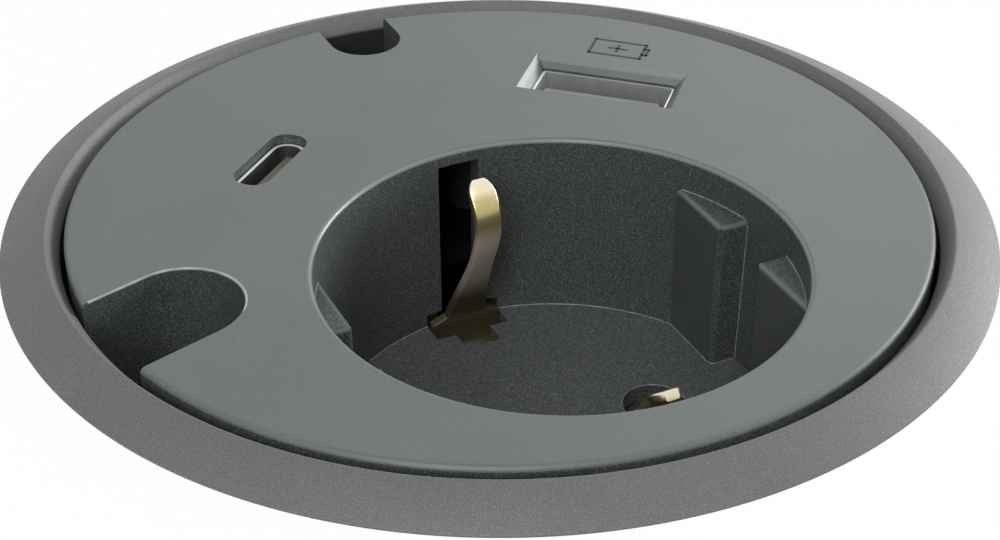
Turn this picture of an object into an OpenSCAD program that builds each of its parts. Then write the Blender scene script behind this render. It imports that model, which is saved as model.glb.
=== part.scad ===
// Round in-desk power module for an 80 mm desk hole, in millimetres.
// Origin: centre of the trim ring in the desk plane. +Z is up, and X runs along the two pin holes.

/* [Trim ring and desk] */
// Outer radius of the threaded barrel that goes through the desk
barrel_r = 39.4; // [39:0.05:39.6]
// How far the flange reaches past the barrel, over the desk
flange_over = 2.35; // [1.9:0.05:4.6]
// Thickness of the flange's outer edge
lip_h = 0.3; // [0.2:0.05:0.6]
// How far the ring's crest stands out from its inner wall
crest_out = 1.03; // [0.75:0.01:1.5]
// Height of the crest above the desk
crest_h = 2.03; // [1.8:0.05:2.6]
// Rounding of the crest
crest_round = 0.4; // [0.2:0.05:0.5]
// Height at which the ring's inner slope ends in the upright wall
inner_slope_h = 0.55; // [0.4:0.05:0.9]
// Thickness of the barrel's wall
barrel_wall = 2.53; // [2.2:0.01:2.6]
// Length of the barrel below the desk's surface
barrel_len = 34; // [34:0.5:38]
// How far the seat at the foot of the barrel stands in from its wall
seat_w = 1.57; // [1.3:0.01:1.65]
// Height of the seat at the foot of the barrel
seat_h = 4; // [3:0.5:5]
// Thickness of the desk that the nut clamps
desk_t = 25; // [16:1:25]

/* [Clamp nut] */
// Height of the nut
nut_h = 8; // [6:0.5:9]
// How far the nut's flange reaches past the barrel
nut_flange_w = 6.6; // [5:0.2:10]
// How far the nut's body reaches past the barrel
nut_wall = 3.2; // [2.6:0.1:4.5]
// Thickness of the nut's flange
nut_flange_h = 2.4; // [1.5:0.1:3]
// Number of grip ribs round the nut
nut_ribs = 24; // [12:2:36]

/* [Face and socket well] */
// Gap between the face plate and the ring's inner wall
face_gap = 0.44; // [0.3:0.01:0.6]
// Height of the face above the desk
face_z = 1.73; // [1.5:0.01:1.95]
// Thickness of the face plate
face_t = 2.6; // [2.2:0.1:3]
// Rounding of the face's outer edge
face_round = 0.5; // [0.2:0.05:0.7]
// Rounding of the rims of the well and the cable notches
rim_round = 0.45; // [0.2:0.05:0.6]
// Thickness of the moulded walls under the face
wall = 1.6; // [1.3:0.1:1.8]
// Length of the skirt below the desk plane
skirt_len = 8; // [7:0.5:10]
// Distance of the well's centre from the ring's centre
well_y = -11.3; // [-11.6:0.1:-10.8]
// Radius of the well at the face
well_rim_r = 19.96; // [19.8:0.02:20.1]
// Radius of the well at its floor
well_foot_r = 19.65; // [19.5:0.01:19.75]
// Depth of the well below the face
well_depth = 17.5; // [16.5:0.1:18.5]
// Distance of the guide ribs' flat faces from the well's centre
rib_face = 16.9; // [16.5:0.1:17.3]
// Half width of the gap between two guide ribs
rib_gap = 2.9; // [2.4:0.1:3.4]
// Depth of the guide ribs' tops below the face
rib_drop = 3.1; // [2.5:0.1:4]
// Rounding of the guide ribs
rib_round = 0.6; // [0.3:0.05:0.8]
// Width of the slot in the wall behind each earth clip
clip_slot_w = 3.9; // [3.6:0.1:4.4]
// Depth of the top of that slot below the face
clip_slot_drop = 1.3; // [1.1:0.1:1.8]

/* [Socket inside] */
// Distance between the two pin holes
pin_pitch = 19; // [18.8:0.1:19.2]
// Diameter of a pin hole
pin_hole_d = 5.65; // [5.3:0.05:6]
// Thickness of the socket floor
floor_t = 1.5; // [1.3:0.1:1.8]
// Thickness of the flange round the socket floor
floor_flange_t = 1.2; // [1:0.1:1.5]
// Thickness of the contacts' brass sheet
contact_t = 0.6; // [0.5:0.05:0.7]
// Width of the contacts
contact_w = 5.6; // [5:0.2:6]
// Depth of the contacts below the socket floor
contact_depth = 16; // [15:0.5:17]
// Thickness of the earth bracket
earth_t = 0.8; // [0.6:0.05:0.9]
// Width of the earth bracket under the floor
earth_w = 3.2; // [2.8:0.1:3.2]
// Width of the earth bracket's feet
earth_foot_w = 6.8; // [6:0.1:6.8]
// Width of an earth clip at its waist
clip_waist_w = 2.15; // [1.9:0.05:2.4]
// Width of an earth clip near its tip
clip_tip_w = 2.45; // [2.3:0.05:2.8]
// How much further the front clip's tip stands back towards the wall
front_clip_give = 2.1; // [0:0.1:2.5]
// How much lower the front clip's tip is
front_clip_drop = 0.3; // [0:0.1:0.5]

/* [Ports] */
// Position of the larger port's centre
usb_a_pos = [17.85, 14.87]; // [12:0.01:22]
// Turn of the larger port
usb_a_turn = -42.5; // [-44:0.5:-41]
// Length and width of the larger port's bevelled recess
usb_a_recess = [14.8, 7.2]; // [7:0.1:15]
// Length and width of the larger port's opening
usb_a_open = [13.0, 5.4]; // [5:0.1:13.2]
// Depth of the larger port's bevel
usb_a_bevel = 1; // [0.8:0.05:1.1]
// Depth of the larger port's shell below the face
usb_a_drop = 1.2; // [1.15:0.05:1.6]
// Length and width inside the larger port's shell
usb_a_in = [12.5, 5.1]; // [5:0.1:12.6]
// Position of the smaller port's centre
usb_c_pos = [-15.38, 14.37]; // [-16:0.01:15]
// Turn of the smaller port
usb_c_turn = 41; // [39:0.5:43]
// Length and width of the smaller port's slot
usb_c_slot = [9.25, 3.45]; // [3.3:0.05:9.5]
// Depth of the smaller port's shell below the face
usb_c_drop = 0.9; // [0.7:0.05:1.2]
// Length and width inside the smaller port's shell
usb_c_in = [8.34, 2.6]; // [2.5:0.01:8.4]
// Thickness of both shells' metal
shell_t = 0.3; // [0.25:0.01:0.35]

/* [Cable notches] */
// Distance of the small notch's round end from the plane of the earth clips
small_notch_x = 1; // [0.5:0.1:1.5]
// Distance of its centre from the edge of the face plate
small_notch_in = 3.88; // [3.6:0.02:4.2]
// Radius of the small notch
small_notch_r = 3.46; // [3.2:0.02:3.8]
// Direction in which the small notch opens
small_notch_turn = 90; // [88:0.5:92]
// Centre of the large notch's round end
large_notch_pos = [-29.4, -3.8]; // [-30:0.1:-3]
// Radius of the large notch
large_notch_r = 5.05; // [4.8:0.05:5.1]
// Direction in which the large notch opens
large_notch_turn = 197; // [195:0.5:199]

/* [Housing] */
// How far the housing reaches below the barrel
housing_below = 16; // [16:0.5:20]
// Gap between the housing and the barrel's wall
housing_gap = 0.67; // [0.4:0.01:0.75]
// Gap between the housing below its shoulder and the seat
seat_gap = 0.3; // [0.2:0.05:0.4]
// Thickness of the base cover
cover_t = 2; // [1.8:0.1:2.6]
// Distance of the flat side behind the centre
flat_y = -26; // [-27:0.25:-25.5]
// Distance of the step over the flat side below the barrel
step_drop = 4; // [3.75:0.25:4.5]
// Distance of the cover screws from the housing's outside
cover_screw_in = 4.6; // [4.2:0.1:4.8]

/* [Cord inlet] */
// Radius of the gland's thread
gland_r = 5; // [4.6:0.1:5.4]
// Radius of the gland's bore
gland_bore_r = 3.4; // [3:0.1:3.6]
// Height of the gland's axis above the housing's lower edge
gland_lift = 5.6; // [5.4:0.1:5.8]

/* [Charger] */
// Thickness of both circuit boards
board_t = 1.6; // [1.2:0.1:2]
// Height of the port board's upper face
port_board_z = -13.5; // [-14:0.1:-13]
// Height of the power board above the base cover
board_lift = 4.4; // [4:0.1:5]

/* [Hidden] */
$fn = 96;

graphite = "#6b706f";
ring_grey = "#6f6e6a";
black_plastic = "#26282a";
brass = "#b5a15c";
nickel = "#c9c6b4";
steel = "#b8bcc0";

// Extra length that carries a cut clear of the faces it cuts
cut = 1;
// Clearance between parts that are dropped into each other
gap = 0.1;
// Clearance of the nut's thread
thread_gap = 0.05;

flange_r = barrel_r + flange_over;
ring_inner_r = barrel_r - barrel_wall;
crest_r = ring_inner_r + crest_out;
seat_r = ring_inner_r - seat_w;
nut_flange_r = barrel_r + nut_flange_w;
nut_body_r = barrel_r + nut_wall;
face_r = ring_inner_r - face_gap;
housing_top_r = ring_inner_r - housing_gap;
housing_low_r = seat_r - seat_gap;
cover_screw_pcr = housing_low_r - cover_screw_in;
small_notch_pos = [small_notch_x, face_r - small_notch_in];

face_under = face_z - face_t;
floor_z = face_z - well_depth;
floor_under = floor_z - floor_t;
flange_under = floor_under - floor_flange_t;
well_wall_r = well_rim_r + wall;
pin_x = pin_pitch / 2;
barrel_z = -barrel_len;
seat_z = barrel_z + seat_h;
skirt_z = -skirt_len;
skirt_in_r = face_r - wall;
rim_top_z = skirt_z + 4.5;
housing_z = barrel_z - housing_below;
step_z = barrel_z - step_drop;
gland_z = housing_z + gland_lift;
housing_wall = 2;
cavity_top_r = skirt_in_r - gap - wall;
cavity_low_r = housing_low_r - housing_wall;
cover_z = housing_z - cover_t;
power_board_z = housing_z + board_lift + board_t;
port_board_under = port_board_z - board_t;
contact_z = floor_under - gap;
contact_foot_z = contact_z - contact_depth;
base_top_z = flange_under;
base_z = contact_foot_z - contact_t;
earth_z = flange_under - earth_t - 0.05;
terminal_y = well_y - 8.7;
usb_a_shell_z = face_z - usb_a_drop;
usb_c_shell_z = face_z - usb_c_drop;

// Screws: head radius, head height, shank radius, and the clearance of the hole they pass through
small_screw = [2.1, 1.5, 1.1];
cover_screw = [2.6, 1.4, 1.4];
screw_gap = 0.15;

// Rounding of the guide ribs' tops over the gap between them
rib_top_round = 0.5;

// Ears of the well and of its floor, and room for the earth bracket's feet
ear_r = 2.4;
foot_slot_w = 7.1;
foot_slot_y = 17;
tab_slot_y = 14.7;

// Earth clips
clip_neck_w = 4;
clip_tip_z = floor_z + 16.75;

// Catches on the housing that snap into the skirt
catch_z = skirt_z + 2;
catch_h = 1.6;
catch_w = 5;
catch_out = 0.7;

// Contact base: half its width, its near side from the well's centre, and its bosses and cavities
base_half_w = 15.6;
base_near_y = 9.4;
base_screw_in = 3;
base_screw_y = 6.2;
base_far_y = terminal_y - 4;
boss_len = 6;
boss_r = 2.2;
cavity = [8, contact_w + 2 * gap];
strip_w = 5;
pillar_r = 2.3;

// Port shells and tongues
usb_a_out = usb_a_in + 2 * [shell_t, shell_t];
usb_c_out = usb_c_in + 2 * [shell_t, shell_t];
usb_a_tongue_size = [11.1, 1.8];
usb_a_tongue_y = -0.85;
usb_a_tongue_top = usb_a_shell_z - 0.5;
usb_a_foot = port_board_z + 3;
usb_a_pad_x = [-3.5, -1, 1, 3.5];
usb_a_pad_t = 0.15;
usb_c_tongue_size = [6.7, 0.7];
usb_c_tongue_top = usb_c_shell_z - 0.7;
usb_c_foot = port_board_z + 7;

// Charger
well_clearance = 5.6;
port_board_y = 1;
power_board_y = -14;
ribbon_pos = [-14, 21];
ribbon_size = [8, 0.9];
lead_r = 0.9;
lead_y = well_y + 0.5;
core_pos = [11, 13];
core_size = [16, 12];
core_h = 14;
core_leg = 2.6;
core_z = power_board_z + 1;
yoke = 3.4;
coil_r = 4.6;
coil_rim = [5.2, 0.8];
input_capacitor_pos = [-4.2, 14];
input_capacitor_size = [5, 15.5];
output_capacitor_pos = [1, 24.2];
output_capacitor_size = [2.6, 9];
rectifier_pos = [-13, -4];
rectifier_size = [6.5, 6.5, 2.6];
fuse_pos = [13, -3];
insulation_z = step_z + 0.2;
insulation_t = 0.8;
insulation_y = [-15, 5];

// Housing, and gland
cover_boss_r = 3.2;
cover_boss_len = 9;
hook_out = 0.9;
gland_hex_r = 6.2;
gland_collar_h = 3;
gland_out = 6;
gland_nut_h = 2.4;
gland_nut_r = 6.4;
seal_len = 3.4;
seal_wall = 0.8;

// Where the screws stand
floor_ear_turns = [40, 140, 200, 340];
floor_ear_r = well_wall_r + 1.6;
floor_ears = [for (a = floor_ear_turns) [floor_ear_r * cos(a), well_y + floor_ear_r * sin(a)]];
contact_screw_spots = [for (s = [-1, 1]) [s * (base_half_w - base_screw_in), well_y + base_screw_y]];
terminal_spots = [for (s = [-1, 0, 1]) [s * pin_x, terminal_y]];
port_board_spots = [[27.5, 5], [8, 24], [-24, 17], [-8, 24]];
cover_screw_turns = [45, 135, 222, 318];
cover_spots = [for (a = cover_screw_turns) cover_screw_pcr * [cos(a), sin(a)]];
board_post_spots = [[0, -9], [-21, 8], [24, 6]];
hook_turns = [30, 140, 235, 320];

// Points of the arc that rounds corner b between a and c
function unit(v) = v / norm(v);
function round_corner(a, b, c, r, n = 6) =
    let (
        u = unit(a - b),
        w = unit(c - b),
        half = acos(u * w) / 2,
        m = b + unit(u + w) * r / sin(half),
        p = b + u * r / tan(half) - m,
        q = b + w * r / tan(half) - m,
        start = atan2(p.y, p.x),
        sweep = ((atan2(q.y, q.x) - start + 540) % 360) - 180
    )
    [for (i = [0:n]) m + r * [cos(start + sweep * i / n), sin(start + sweep * i / n)]];

// Points of a smooth curve through the given points, with n steps between two of them
function spline(p, n = 5) =
    [for (i = [0:len(p) - 2], j = [0:i == len(p) - 2 ? n : n - 1])
        let (
            a = p[max(i - 1, 0)],
            b = p[i],
            c = p[i + 1],
            d = p[min(i + 2, len(p) - 1)],
            t = j / n
        )
        0.5 * (2 * b + (c - a) * t + (2 * a - 5 * b + 4 * c - d) * t * t
            + (3 * b - a - 3 * c + d) * t * t * t)];

// Outline of a sheet of thickness t whose middle follows the points of a path
function sheet_outline(path, t) =
    let (
        last = len(path) - 1,
        normals = [for (i = [0:last])
            let (d = unit(path[min(i + 1, last)] - path[max(i - 1, 0)])) [-d.y, d.x]]
    )
    concat(
        [for (i = [0:last]) path[i] + normals[i] * t / 2],
        [for (i = [last:-1:0]) path[i] - normals[i] * t / 2]
    );

// A plate between two heights
module slab(low, high) {
    translate([0, 0, low]) linear_extrude(high - low) children();
}

// A rectangle with round corners
module round_rect(size, r) {
    square([size.x - 2 * r, size.y], center = true);
    square([size.x, size.y - 2 * r], center = true);
    for (x = [-1, 1], y = [-1, 1])
        translate([x * (size.x / 2 - r), y * (size.y / 2 - r)]) circle(r, $fn = 32);
}

// Section of a funnel whose width narrows from top at height 0 to low at depth h
module taper_section(top, low, h) {
    polygon([
        [-low / 2, -h], [low / 2, -h], [top / 2, 0], [top / 2, cut], [-top / 2, cut], [-top / 2, 0]
    ]);
}

// Waste of a rectangular funnel that narrows from size top to size low over its depth
module tapered_block(top, low, h) {
    intersection() {
        rotate([90, 0, 0]) linear_extrude(top.y * 2, center = true)
            taper_section(top.x, low.x, h);
        rotate([90, 0, 90]) linear_extrude(top.x * 2, center = true)
            taper_section(top.y, low.y, h);
    }
}

// A pan-head screw with a cross recess, head down, its shank pointing up from z = 0
module screw(size, shank_len) {
    recess = size[1] * 0.6;
    difference() {
        union() {
            translate([0, 0, -size[1]]) cylinder(h = size[1], r = size[0], $fn = 48);
            cylinder(h = shank_len, r = size[2], $fn = 32);
        }
        for (a = [0, 90])
            rotate(a) translate([0, 0, -size[1]])
                cube([size[0] * 1.3, size[0] * 0.25, recess * 2], center = true);
    }
}

// Plan outline of a cable notch, grown by a margin on every side
module notch_outline(pos, r, turn, grow = 0) {
    translate(pos) rotate(turn) {
        circle(r + grow);
        translate([0, -r - grow]) square([2 * flange_r, 2 * (r + grow)]);
    }
}

module notches(grow = 0) {
    notch_outline(small_notch_pos, small_notch_r, small_notch_turn, grow);
    notch_outline(large_notch_pos, large_notch_r, large_notch_turn, grow);
}

// Section of the waste that rounds an edge of radius r: the wall is at x = 0, the top at y = 0
module edge_waste(r) {
    polygon(concat(
        [[-cut, cut], [-cut, -r]],
        round_corner([0, -r - cut], [0, 0], [r + cut, 0], r),
        [[r, cut]]
    ));
}

// The waste that rounds the rim of a cable notch
module notch_rim_waste(pos, r, turn) {
    translate([pos.x, pos.y, face_z]) rotate(turn) {
        rotate([0, 0, 90]) rotate_extrude(angle = 180) translate([r, 0]) edge_waste(rim_round);
        for (s = [0, 1])
            mirror([0, s, 0]) translate([0, r, 0]) rotate([90, 0, 90])
                linear_extrude(flange_r) edge_waste(rim_round);
    }
}

module trim_ring() {
    crest = [crest_r, crest_h];
    lip = [flange_r, lip_h];
    inner = [ring_inner_r, inner_slope_h];
    color(ring_grey) rotate_extrude($fn = 180) polygon(concat(
        [
            [seat_r, barrel_z], [barrel_r, barrel_z], [barrel_r, 0], [flange_r, 0], lip
        ],
        round_corner(lip, crest, inner, crest_round),
        [inner, [ring_inner_r, seat_z], [seat_r, seat_z]]
    ));
}

module clamp_nut() {
    top = -desk_t;
    color(black_plastic) difference() {
        union() {
            slab(top - nut_h, top) circle(nut_body_r);
            slab(top - nut_flange_h, top) circle(nut_flange_r);
            for (i = [0:nut_ribs - 1])
                rotate(i * 360 / nut_ribs)
                    slab(top - nut_h, top) translate([nut_body_r - 1, -1]) square([2, 2]);
        }
        slab(top - nut_h - cut, top + cut) circle(barrel_r + thread_gap);
    }
}

// The guide ribs of the socket well, seen from above
module rib_outline() {
    reach = well_rim_r + wall / 2;
    for (x = [0, 1], y = [0, 1])
        mirror([x, 0]) mirror([0, y]) intersection() {
            circle(reach);
            polygon(concat(
                [[rib_face, reach]],
                round_corner([rib_face, reach], [rib_face, rib_gap], [reach, rib_gap], rib_round),
                [[reach + cut, rib_gap], [reach + cut, reach]]
            ));
        }
}

module guide_ribs() {
    top = face_z - rib_drop;
    difference() {
        difference() {
            translate([0, well_y, 0]) slab(floor_z, top) rib_outline();
            for (s = [0, 1])
                mirror([s, 0, 0]) translate([rib_face, well_y, top]) rotate([90, 0, 0])
                    linear_extrude(2 * well_rim_r, center = true) edge_waste(rib_round);
        }
        for (s = [0, 1])
            translate([0, well_y, top]) mirror([0, s, 0]) translate([0, rib_gap, 0])
                rotate([90, 0, 90]) linear_extrude(2 * well_wall_r, center = true)
                    edge_waste(rib_top_round);
    }
}

// The face plate's solid of plate, skirt, well and bosses, with its round edges
module face_body() {
    union() {
        difference() {
            union() {
                slab(face_under, face_z) circle(face_r, $fn = 180);
                slab(skirt_z, face_z) difference() {
                    circle(face_r, $fn = 180);
                    circle(skirt_in_r);
                }
                translate([0, well_y, 0]) slab(floor_under, face_z) circle(well_wall_r);
                slab(skirt_z, face_z) intersection() {
                    notches(wall);
                    circle(face_r, $fn = 180);
                }
                for (p = floor_ears)
                    translate(p) slab(floor_under, face_under + 0.5) circle(ear_r);
                for (p = port_board_spots)
                    translate(p) slab(port_board_z, face_under + 0.5) circle(boss_r);
            }
            translate([0, well_y, floor_z])
                cylinder(h = well_depth, r1 = well_foot_r, r2 = well_rim_r, $fn = 180);
            translate([0, well_y, 0]) slab(floor_under - cut, floor_z) circle(well_foot_r, $fn = 180);
            translate([0, well_y, face_z]) rotate_extrude($fn = 180)
                translate([well_rim_r, 0]) edge_waste(rim_round);
            translate([0, 0, face_z]) rotate_extrude($fn = 180)
                translate([face_r, 0]) mirror([1, 0]) edge_waste(face_round);
        }
        guide_ribs();
    }
}

// Slots behind the earth clips, and room for the clips' feet
module clip_slots() {
    for (s = [0, 1])
        translate([0, well_y, 0]) mirror([0, s, 0]) {
            slab(floor_under - cut, face_z - clip_slot_drop)
                translate([-clip_slot_w / 2, well_foot_r - cut]) square([clip_slot_w, wall + 2 * cut]);
            slab(floor_under - cut, floor_z + 1.2)
                translate([-foot_slot_w / 2, well_foot_r - cut]) square([foot_slot_w, cut + 0.9]);
        }
}

// Bevelled recess, opening and shell pocket of the larger port, and the smaller port's slot
module port_openings() {
    at_port(usb_a_pos, usb_a_turn) {
        translate([0, 0, face_z]) tapered_block(usb_a_recess, usb_a_open, usb_a_bevel);
        slab(face_under - cut, face_z - usb_a_bevel + 0.01) square(usb_a_open, center = true);
        slab(face_under - cut, usb_a_shell_z) square(usb_a_out + [gap, gap], center = true);
    }
    at_port(usb_c_pos, usb_c_turn)
        slab(face_under - cut, face_z + cut) round_rect(usb_c_slot, usb_c_slot.y / 2 - 0.2);
}

module face_plate() {
    color(graphite) difference() {
        difference() {
            face_body();
            slab(skirt_z - cut, face_z + cut) notches();
            clip_slots();
            port_openings();
            for (p = floor_ears)
                translate(p) slab(floor_under - cut, floor_under + 6) circle(small_screw[2], $fn = 32);
            for (p = port_board_spots)
                translate(p) slab(port_board_z - cut, port_board_z + 6) circle(small_screw[2], $fn = 32);
            // Windows that the housing's catches snap into
            for (a = hook_turns)
                rotate(a) slab(catch_z - gap, catch_z + catch_h + gap)
                    translate([skirt_in_r - cut, -catch_w / 2 - gap])
                        square([cut + catch_out + gap, catch_w + 2 * gap]);
        }
        notch_rim_waste(small_notch_pos, small_notch_r, small_notch_turn);
        notch_rim_waste(large_notch_pos, large_notch_r, large_notch_turn);
    }
}

// Plan of the openings in the floor for the earth bracket
module floor_slots() {
    for (s = [0, 1])
        mirror([0, s]) {
            translate([-foot_slot_w / 2, foot_slot_y]) square([foot_slot_w, well_wall_r]);
            translate([-earth_w / 2 - gap, tab_slot_y]) square([earth_w + 2 * gap, 5]);
        }
}

module socket_floor() {
    color(graphite) difference() {
        union() {
            translate([0, well_y, 0]) {
                slab(floor_under, floor_z) circle(well_foot_r - gap, $fn = 180);
                slab(flange_under, floor_under) circle(well_wall_r);
            }
            for (p = floor_ears)
                translate(p) slab(flange_under, floor_under) circle(ear_r);
            for (p = contact_screw_spots)
                translate(p) slab(flange_under - boss_len, floor_under) circle(boss_r);
        }
        translate([0, well_y, 0]) slab(flange_under - cut, floor_z + cut) floor_slots();
        for (s = [-1, 1])
            translate([s * pin_x, well_y, 0]) {
                slab(flange_under - cut, floor_z + cut) circle(pin_hole_d / 2, $fn = 64);
                slab(flange_under - cut, floor_under) square(cavity + [2, 2] * gap, center = true);
            }
        for (p = floor_ears)
            translate(p) slab(flange_under - cut, floor_under + cut)
                circle(small_screw[2] + screw_gap, $fn = 32);
        for (p = contact_screw_spots)
            translate(p) slab(flange_under - boss_len - cut, floor_under - 0.2)
                circle(small_screw[2], $fn = 32);
    }
}

module floor_screws() {
    color(steel) for (p = floor_ears)
        translate([p.x, p.y, flange_under]) screw(small_screw, floor_flange_t + 5);
}

module contact_base() {
    far = base_far_y;
    near = well_y + base_near_y;
    color("#dcd8cc") difference() {
        slab(base_z, base_top_z) translate([-base_half_w, far]) square([2 * base_half_w, near - far]);
        // Cavities of the two contacts, open above
        for (s = [-1, 1])
            translate([s * pin_x, well_y, 0])
                slab(contact_foot_z - contact_t - cut, base_top_z + cut) square(cavity, center = true);
        // Channels for the contacts' terminal strips
        for (s = [-1, 1])
            slab(base_z - cut, contact_foot_z + gap)
                translate([s * pin_x - strip_w / 2 - gap, far - cut])
                    square([strip_w + 2 * gap, well_y - far + cut]);
        // Groove of the earth bracket, and the hole of its pillar
        slab(earth_z - gap, base_top_z + cut)
            translate([-earth_w / 2 - gap, far - cut])
                square([earth_w + 2 * gap, near - far + 2 * cut]);
        translate([0, terminal_y, 0]) slab(base_z - cut, earth_z) circle(pillar_r + gap);
        for (s = [-1, 1])
            translate([s * pin_x, terminal_y, 0])
                slab(contact_foot_z - cut, contact_foot_z + 7) circle(small_screw[2], $fn = 32);
        for (p = contact_screw_spots)
            translate(p) {
                slab(base_z - cut, base_top_z) circle(small_screw[2] + screw_gap, $fn = 32);
                slab(base_top_z - boss_len, base_top_z + cut) circle(boss_r + gap);
            }
    }
}

// A spring contact: two leaves that grip the pin, and a strip to the terminal screw
module spring_contact(x) {
    foot = contact_foot_z - contact_t / 2;
    half = spline([
        [0, foot], [2.2, foot], [3.1, foot + 1.4], [2.9, foot + 6], [2.35, contact_z - 5],
        [2.5, contact_z - 2], [2.9, contact_z]
    ]);
    color(nickel) translate([x, 0, 0]) difference() {
        union() {
            for (s = [0, 1])
                translate([0, well_y, 0]) mirror([s, 0, 0]) rotate([90, 0, 0])
                    linear_extrude(contact_w, center = true)
                        polygon(sheet_outline(concat([[-0.3, foot]], half), contact_t));
            slab(contact_foot_z - contact_t, contact_foot_z)
                translate([-strip_w / 2, terminal_y - 3]) square([strip_w, well_y - terminal_y + 3]);
        }
        translate([0, terminal_y, 0]) slab(base_z - cut, contact_foot_z + cut)
            circle(small_screw[2] + screw_gap, $fn = 32);
    }
}

module line_contact() { spring_contact(-pin_x); }
module neutral_contact() { spring_contact(pin_x); }

// Middle line of half the earth bracket. The clip's tip stands back by give and is lower by drop.
function clip_path(give, drop) =
    let (
        mid = earth_z + earth_t / 2,
        h = clip_tip_z - floor_z,
        clip = [
            [18.75, 1], [17.7, 3.6], [15.5, 7.9], [14.1, 11], [13.65, 13], [14.3, 15], [15.9, 16.6]
        ]
    )
    concat([[-0.2, mid]], spline(concat(
        [[0, mid], [12, mid], [16.8, mid], [18.4, mid + 0.55], [18.9, floor_under + 0.3]],
        [for (p = clip) [p.x + give * p.y / h, floor_z + p.y * (1 - drop / h)]]
    )));

// Half of the earth bracket, from the middle of the strip to the tip of its clip
module half_bracket(give, drop) {
    foot_z = floor_z + 0.5;
    neck_z = floor_z + 1.2;
    waist_z = floor_z + 9;
    tip_z = clip_tip_z - drop - clip_tip_w / 2;
    intersection() {
        rotate([90, 0, 90]) linear_extrude(earth_foot_w, center = true)
            polygon(sheet_outline(clip_path(give, drop), earth_t));
        rotate([90, 0, 0]) linear_extrude(60, center = true) union() {
            polygon([
                [-earth_foot_w / 2, earth_z - cut], [earth_foot_w / 2, earth_z - cut],
                [earth_foot_w / 2, foot_z], [clip_neck_w / 2, neck_z], [clip_waist_w / 2, waist_z],
                [clip_tip_w / 2, tip_z], [-clip_tip_w / 2, tip_z],
                [-clip_waist_w / 2, waist_z], [-clip_neck_w / 2, neck_z], [-earth_foot_w / 2, foot_z]
            ]);
            translate([0, tip_z]) circle(clip_tip_w / 2, $fn = 48);
        }
        slab(earth_z - cut, face_z) union() {
            translate([-earth_w / 2, -cut]) square([earth_w, 30]);
            translate([-earth_foot_w / 2, 17.3]) square([earth_foot_w, 5]);
            translate([-clip_tip_w, 13]) square([2 * clip_tip_w, 10]);
        }
    }
}

// The earth bracket: one strip under the floor with a clip bent up at each end
module earth_bracket() {
    color(brass) translate([0, well_y, 0]) {
        half_bracket(0, 0);
        mirror([0, 1, 0]) half_bracket(front_clip_give, front_clip_drop);
    }
}

module earth_pillar() {
    color(brass) difference() {
        translate([0, terminal_y, 0]) slab(base_z, earth_z) circle(pillar_r, $fn = 48);
        translate([0, terminal_y, 0]) slab(base_z - cut, base_z + 6) circle(small_screw[2], $fn = 32);
    }
}

module contact_screws() {
    color(steel) for (p = contact_screw_spots)
        translate([p.x, p.y, base_z]) screw(small_screw, base_top_z - base_z - 1);
}

module terminal_screws() {
    color(nickel) for (p = terminal_spots)
        translate([p.x, p.y, base_z]) screw(small_screw, 5);
}

// Places its children in a port's own frame
module at_port(pos, turn) {
    translate([pos.x, pos.y, 0]) rotate(turn) children();
}

module usb_a_shell() {
    color(steel) at_port(usb_a_pos, usb_a_turn) slab(port_board_z, usb_a_shell_z - gap) difference() {
        round_rect(usb_a_out, 0.6);
        round_rect(usb_a_in, 0.35);
    }
}

module usb_a_tongue() {
    color("#8d9196") at_port(usb_a_pos, usb_a_turn) {
        slab(port_board_z, usb_a_foot) square(usb_a_in - 2 * [gap, gap], center = true);
        slab(port_board_z, usb_a_tongue_top) translate([0, usb_a_tongue_y])
            square(usb_a_tongue_size, center = true);
    }
}

module usb_a_contacts() {
    color(brass) at_port(usb_a_pos, usb_a_turn) for (x = usb_a_pad_x)
        slab(usb_a_foot, usb_a_tongue_top - 0.6)
            translate([x - 0.5, usb_a_tongue_y + usb_a_tongue_size.y / 2]) square([1, usb_a_pad_t]);
}

module usb_c_shell() {
    color(steel) at_port(usb_c_pos, usb_c_turn) slab(usb_c_foot, usb_c_shell_z) difference() {
        round_rect(usb_c_out, usb_c_out.y / 2 - 0.15);
        round_rect(usb_c_in, usb_c_in.y / 2 - 0.1);
    }
}

module usb_c_tongue() {
    color(black_plastic) at_port(usb_c_pos, usb_c_turn) {
        slab(port_board_z, usb_c_foot) square(usb_c_out + [0.6, 0.6], center = true);
        slab(usb_c_foot, usb_c_tongue_top) square(usb_c_tongue_size, center = true);
        slab(usb_c_foot, usb_c_foot + 1.2)
            square([usb_c_tongue_size.x, usb_c_in.y - 2 * gap], center = true);
    }
}

module port_board() {
    color("#1f5a3a") difference() {
        slab(port_board_under, port_board_z) difference() {
            circle(cavity_top_r - 0.3);
            translate([-50, port_board_y - 100]) square(100);
            translate([0, well_y]) circle(well_wall_r + well_clearance);
            notches(wall + 0.4);
        }
        for (p = port_board_spots)
            translate(p) slab(port_board_under - cut, port_board_z + cut)
                circle(small_screw[2] + screw_gap, $fn = 32);
    }
}

module port_board_screws() {
    color(steel) for (p = port_board_spots)
        translate([p.x, p.y, port_board_under]) screw(small_screw, board_t + 5);
}

module ribbon_cable() {
    color("#c7c9cc") slab(power_board_z, port_board_under)
        translate(ribbon_pos) square(ribbon_size, center = true);
}

module power_board() {
    color("#1f5a3a") difference() {
        slab(power_board_z - board_t, power_board_z) difference() {
            circle(cavity_low_r - 0.6);
            translate([-50, power_board_y - 100]) square(100);
            notches(wall + 0.4);
            for (p = cover_spots)
                translate(p) circle(cover_boss_r + 0.4);
        }
        for (p = board_post_spots)
            translate(p) slab(power_board_z - board_t - cut, power_board_z + cut)
                circle(small_screw[2] + screw_gap, $fn = 32);
    }
}

module board_screws() {
    color(steel) for (p = board_post_spots)
        translate([p.x, p.y, power_board_z]) mirror([0, 0, 1]) screw(small_screw, board_t + 4);
}

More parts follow.
